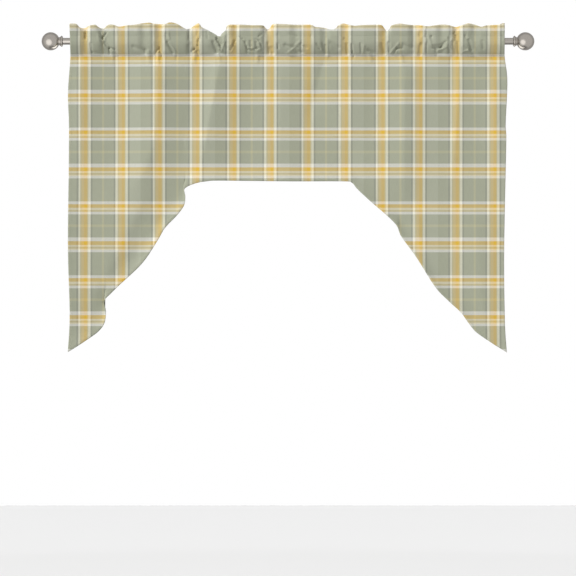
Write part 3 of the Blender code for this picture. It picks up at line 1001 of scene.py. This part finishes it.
class Nodes:
    """Adds and links nodes of one tree."""

    def __init__(self, tree):
        self.tree = tree

    def add(self, kind, **settings):
        node = self.tree.nodes.new(kind)
        for name, value in settings.items():
            setattr(node, name, value)
        return node

    def link(self, source, target):
        self.tree.links.new(source, target)

    def math(self, operation, *values):
        """A Math node. Each value is a number or an output."""
        node = self.add("ShaderNodeMath", operation=operation)
        for socket, value in zip(node.inputs, values):
            if isinstance(value, (int, float)):
                socket.default_value = value
            else:
                self.link(value, socket)
        return node.outputs[0]

    def smooth(self, value, reach, levels):
        """A smooth change from one level to another while the value crosses reach."""
        node = self.add("ShaderNodeMapRange", interpolation_type="SMOOTHSTEP")
        self.link(value, node.inputs["Value"])
        low, high = (0, 1) if reach[0] < reach[1] else (1, 0)
        node.inputs["From Min"].default_value = reach[low]
        node.inputs["From Max"].default_value = reach[high]
        node.inputs["To Min"].default_value = levels[low]
        node.inputs["To Max"].default_value = levels[high]
        return node.outputs["Result"]

    def stretched(self, place, scale):
        """A place scaled by three numbers, for a texture that is longer one way."""
        node = self.add("ShaderNodeMapping")
        node.inputs["Scale"].default_value = scale
        self.link(place, node.inputs["Vector"])
        return node.outputs[0]

    def raised(self, height, strength, distance):
        """The facing of a surface that a height from 0 to 1 raises by a distance in metres."""
        node = self.add("ShaderNodeBump")
        node.inputs["Strength"].default_value = strength
        node.inputs["Distance"].default_value = distance
        self.link(height, node.inputs["Height"])
        return node.outputs[0]

    def mix(self, factor, first, second):
        node = self.add("ShaderNodeMix", data_type="RGBA")
        for number, value in ((0, factor), (6, first), (7, second)):
            socket = node.inputs[number]
            if isinstance(value, (int, float)):
                socket.default_value = value
            elif isinstance(value, tuple):
                socket.default_value = (*value, 1.0)
            else:
                self.link(value, socket)
        return node.outputs[2]


def stripes(nodes, place, start, chart):
    """The yarn colour at a place in metres along a chart of stripes that repeats."""
    repeat = sum(stripe.width for stripe in chart)
    offset = nodes.math("SUBTRACT", place, start * MM)
    share = nodes.math("FRACT", nodes.math("DIVIDE", offset, repeat * MM))
    ramp = nodes.add("ShaderNodeValToRGB")
    ramp.color_ramp.interpolation = "CONSTANT"
    elements = ramp.color_ramp.elements
    elements.remove(elements[1])
    reached = 0.0
    for number, stripe in enumerate(chart):
        element = elements[0] if number == 0 else elements.new(reached / repeat)
        element.position = reached / repeat
        element.color = (*(CLOTH_TONE * c for c in linear(YARNS[stripe.yarn])), 1.0)
        reached += stripe.width
    nodes.link(share, ramp.inputs[0])
    return ramp.outputs[0]


def new_material(name):
    made = bpy.data.materials.new(name)
    made.use_nodes = True
    return made, Nodes(made.node_tree), made.node_tree.nodes["Principled BSDF"]


def plaid_material():
    """Two charts of stripes woven over and under, read at the cloth's own flat places."""
    made, nodes, shader = new_material("woven_plaid")
    place = nodes.add("ShaderNodeAttribute", attribute_name="flat")
    axes = nodes.add("ShaderNodeSeparateXYZ")
    nodes.link(place.outputs["Vector"], axes.inputs[0])
    across, down = axes.outputs[0], axes.outputs[1]
    warp = stripes(nodes, across, WARP_START, WARP)
    weft = stripes(nodes, down, WEFT_START, WEFT)
    turn = 2.0 * pi / (YARN_PITCH * MM)
    warp_wave = nodes.math("SINE", nodes.math("MULTIPLY", across, turn))
    weft_wave = nodes.math("SINE", nodes.math("MULTIPLY", down, turn))
    over = nodes.math("MULTIPLY", warp_wave, weft_wave)
    share = nodes.math("MULTIPLY_ADD", over, WEAVE_SWING, 0.5)
    woven = nodes.mix(share, warp, weft)

    slub = nodes.add("ShaderNodeTexNoise", noise_dimensions="3D")
    slub.inputs["Scale"].default_value = 1.0
    slub.inputs["Detail"].default_value = 3.0
    nodes.link(nodes.stretched(place.outputs["Vector"], SLUB_SCALE), slub.inputs["Vector"])
    tone = nodes.math("MULTIPLY_ADD", slub.outputs["Fac"], SLUB_DEPTH, 1.0 - 0.5 * SLUB_DEPTH)
    tinted = nodes.add("ShaderNodeVectorMath", operation="SCALE")
    nodes.link(woven, tinted.inputs[0])
    nodes.link(tone, tinted.inputs["Scale"])
    nodes.link(tinted.outputs[0], shader.inputs["Base Color"])

    nodes.link(nodes.raised(over, WEAVE_BUMP, WEAVE_HEIGHT), shader.inputs["Normal"])
    shader.inputs["Roughness"].default_value = 0.9
    shader.inputs["Specular IOR Level"].default_value = 0.2
    shader.inputs["Sheen Weight"].default_value = 0.12
    shader.inputs["Sheen Roughness"].default_value = 0.45
    return made


def thread_material():
    """Sage sewing thread, with its twist as fine slanting ridges and painted shade in the grooves
    between them.
    """
    made, nodes, shader = new_material("sewing_thread")
    place = nodes.add("ShaderNodeTexCoord")
    twist = nodes.add("ShaderNodeTexWave", bands_direction="DIAGONAL")
    twist.inputs["Scale"].default_value = TWIST_SCALE
    nodes.link(place.outputs["Object"], twist.inputs["Vector"])
    sage = tuple(CLOTH_TONE * c for c in linear(YARNS["sage"]))
    # Painted shade: the grooves of the twist, low in its bump, are coloured darker than its
    # ridges.
    dim = tuple(THREAD_GROOVE_SHADE * c for c in sage)
    nodes.link(nodes.mix(twist.outputs["Fac"], dim, sage), shader.inputs["Base Color"])
    normal = nodes.raised(twist.outputs["Fac"], TWIST_BUMP, TWIST_HEIGHT)
    nodes.link(normal, shader.inputs["Normal"])
    shader.inputs["Roughness"].default_value = 0.6
    return made


def nickel_material():
    """Satin nickel, with a fine grain in its roughness, colour and facing."""
    made, nodes, shader = new_material("brushed_nickel")
    place = nodes.add("ShaderNodeTexCoord")
    grain = nodes.add("ShaderNodeTexNoise")
    grain.inputs["Scale"].default_value = 1.0
    grain.inputs["Detail"].default_value = 4.0
    nodes.link(nodes.stretched(place.outputs["Object"], GRAIN_SCALE), grain.inputs["Vector"])
    rough = nodes.math("MULTIPLY_ADD", grain.outputs["Fac"], NICKEL_UNEVEN, NICKEL_SMOOTHEST)
    nodes.link(rough, shader.inputs["Roughness"])
    colour = nodes.mix(grain.outputs["Fac"], NICKEL_DARK, NICKEL_PALE)
    nodes.link(colour, shader.inputs["Base Color"])
    normal = nodes.raised(grain.outputs["Fac"], GRAIN_BUMP, GRAIN_HEIGHT)
    nodes.link(normal, shader.inputs["Normal"])
    shader.inputs["Metallic"].default_value = 1.0
    return made


def floor_material():
    made, nodes, shader = new_material("pale_floor")
    shader.inputs["Base Color"].default_value = (0.66, 0.66, 0.66, 1.0)
    shader.inputs["Roughness"].default_value = 0.8
    return made


# ---------------------------------------------------------------- studio

FLOOR_Z = -1.75
FLOOR_SIZE = 12.0
CAMERA_AWAY = 8.0
FRAME_WIDTH = 1.60704
FRAME_MIDDLE_Z = -0.6883
SENSOR = 36.0
ROOM_ABOVE = (0.16, 0.16, 0.16)
ROOM_BELOW = (0.9, 0.9, 0.9)
SUN_STRENGTH = 3.4
SUN_ANGLE = 0.2
SUN_ELEVATION = 0.66
SUN_TO_LEFT = 0.9
# What the metal mirrors: a dome with a soft light in front, and the window behind the cloth. A
# fade goes from its first level to its second while a share of the dome's radius crosses a reach.
Fade = namedtuple("Fade", "reach levels")
GLOW_COLOUR = (1.0, 0.98, 0.95, 1.0)
DOME_RADIUS = 4.0
BACK_TO_FRONT = Fade((0.5, -0.2), (0.48, 0.76))
FLOOR_TO_WALL = Fade((-0.99, -0.8), (0.45, 1.0))
SOFT_LIGHT = Fade((0.7, 0.95), (0.0, 0.9))
SOFT_LIGHT_FROM = (-0.46, -0.84, -0.28)
WINDOW_GLOW = 2.1
WINDOW_WIDTH = 1.04
WINDOW_TOP = -0.2
WINDOW_FOOT = -1.6
WINDOW_BEHIND = 0.2


def make_floor():
    bpy.ops.mesh.primitive_plane_add(size=FLOOR_SIZE, location=(0.0, 0.0, FLOOR_Z))
    floor = bpy.context.object
    floor.name = "floor"
    floor.data.materials.append(floor_material())
    floor.visible_diffuse = False
    floor.visible_glossy = False


def only_mirrored(thing):
    """Leaves a lit thing of the studio to be seen in the metal, and nowhere else."""
    thing.visible_camera = False
    thing.visible_diffuse = False
    thing.visible_transmission = False
    thing.visible_volume_scatter = False
    thing.visible_shadow = False


def glow(name, strength_of):
    """A material that only glows, as brightly as strength_of says for each direction."""
    made = bpy.data.materials.new(name)
    made.use_nodes = True
    nodes = Nodes(made.node_tree)
    made.node_tree.nodes.remove(made.node_tree.nodes["Principled BSDF"])
    light = nodes.add("ShaderNodeEmission")
    light.inputs["Color"].default_value = GLOW_COLOUR
    value = strength_of(nodes)
    if isinstance(value, float):
        light.inputs["Strength"].default_value = value
    else:
        nodes.link(value, light.inputs["Strength"])
    nodes.link(light.outputs[0], made.node_tree.nodes["Material Output"].inputs["Surface"])
    return made


def dome_light(nodes):
    """Dim behind, paler in front, darkest straight below, and one soft light in front."""
    place = nodes.add("ShaderNodeTexCoord")
    axes = nodes.add("ShaderNodeSeparateXYZ")
    nodes.link(place.outputs["Object"], axes.inputs[0])
    ahead = nodes.smooth(axes.outputs[1], *BACK_TO_FRONT)
    above_floor = nodes.smooth(axes.outputs[2], *FLOOR_TO_WALL)
    toward = nodes.add("ShaderNodeVectorMath", operation="DOT_PRODUCT")
    nodes.link(place.outputs["Object"], toward.inputs[0])
    toward.inputs[1].default_value = SOFT_LIGHT_FROM
    soft = nodes.smooth(toward.outputs["Value"], *SOFT_LIGHT)
    return nodes.math("ADD", nodes.math("MULTIPLY", ahead, above_floor), soft)


def make_reflections():
    bpy.ops.mesh.primitive_uv_sphere_add(segments=48, ring_count=24, radius=1.0)
    dome = bpy.context.object
    dome.name = "mirrored_room"
    dome.scale = (DOME_RADIUS, DOME_RADIUS, DOME_RADIUS)
    dome.data.materials.append(glow("room_glow", dome_light))
    only_mirrored(dome)
    bpy.ops.mesh.primitive_plane_add(size=1.0)
    window = bpy.context.object
    window.name = "mirrored_window"
    window.location = (0.0, WINDOW_BEHIND, (WINDOW_TOP + WINDOW_FOOT) / 2)
    window.rotation_euler = (pi / 2, 0.0, 0.0)
    window.scale = (WINDOW_WIDTH, WINDOW_TOP - WINDOW_FOOT, 1.0)
    window.data.materials.append(glow("window_glow", lambda nodes: WINDOW_GLOW))
    only_mirrored(window)


def make_world():
    """White behind the rod, and in front a room that is dim above and bright below."""
    world = bpy.data.worlds.new("studio")
    bpy.context.scene.world = world
    world.use_nodes = True
    nodes = Nodes(world.node_tree)
    place = nodes.add("ShaderNodeTexCoord")
    axes = nodes.add("ShaderNodeSeparateXYZ")
    nodes.link(place.outputs["Generated"], axes.inputs[0])
    height = nodes.math("MULTIPLY_ADD", axes.outputs[2], 0.5, 0.5)
    room = nodes.mix(height, ROOM_BELOW, ROOM_ABOVE)
    behind = nodes.math("GREATER_THAN", axes.outputs[1], 0.0)
    background = world.node_tree.nodes["Background"]
    nodes.link(nodes.mix(behind, room, (1.0, 1.0, 1.0)), background.inputs["Color"])
    background.inputs["Strength"].default_value = 1.0


def make_sun():
    """The window light: soft, from above and to the left of the camera."""
    data = bpy.data.lights.new("window_light", "SUN")
    data.energy = SUN_STRENGTH
    data.angle = SUN_ANGLE
    sun = bpy.data.objects.new("window_light", data)
    sun.visible_glossy = False
    bpy.context.scene.collection.objects.link(sun)
    sun.location = (-3.0, -3.0, 3.0)
    sun.rotation_euler = (pi / 2 - SUN_ELEVATION, 0.0, -SUN_TO_LEFT)


def make_camera():
    data = bpy.data.cameras.new("camera")
    data.sensor_width = SENSOR
    data.lens = SENSOR * CAMERA_AWAY / FRAME_WIDTH
    camera = bpy.data.objects.new("camera", data)
    bpy.context.scene.collection.objects.link(camera)
    camera.location = (0.0, -CAMERA_AWAY, FRAME_MIDDLE_Z)
    camera.rotation_euler = (pi / 2, 0.0, 0.0)
    bpy.context.scene.camera = camera


# ---------------------------------------------------------------- putting it together


def main():
    plaid = plaid_material()
    nickel = nickel_material()

    middle, seams = hanging_sheet()
    flat = flat_places(middle, seams)
    valance = sheet_mesh("valance_cloth", middle, seams, flat, plaid)
    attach(valance, "root")
    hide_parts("valance")

    stitching = make_stitching(middle, seams, thread_material())
    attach(stitching, "root")

    rod = make_rod(nickel)
    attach(rod, "root")
    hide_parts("rod")
    for name, side in (("finial_left", -1.0), ("finial_right", 1.0)):
        finial = make_finial(f"{name}_turned", side, nickel)
        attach(finial, "root")
        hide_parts(name)

    make_floor()
    make_world()
    make_reflections()
    make_sun()
    make_camera()
    bpy.context.scene.view_settings.view_transform = "Standard"


main()
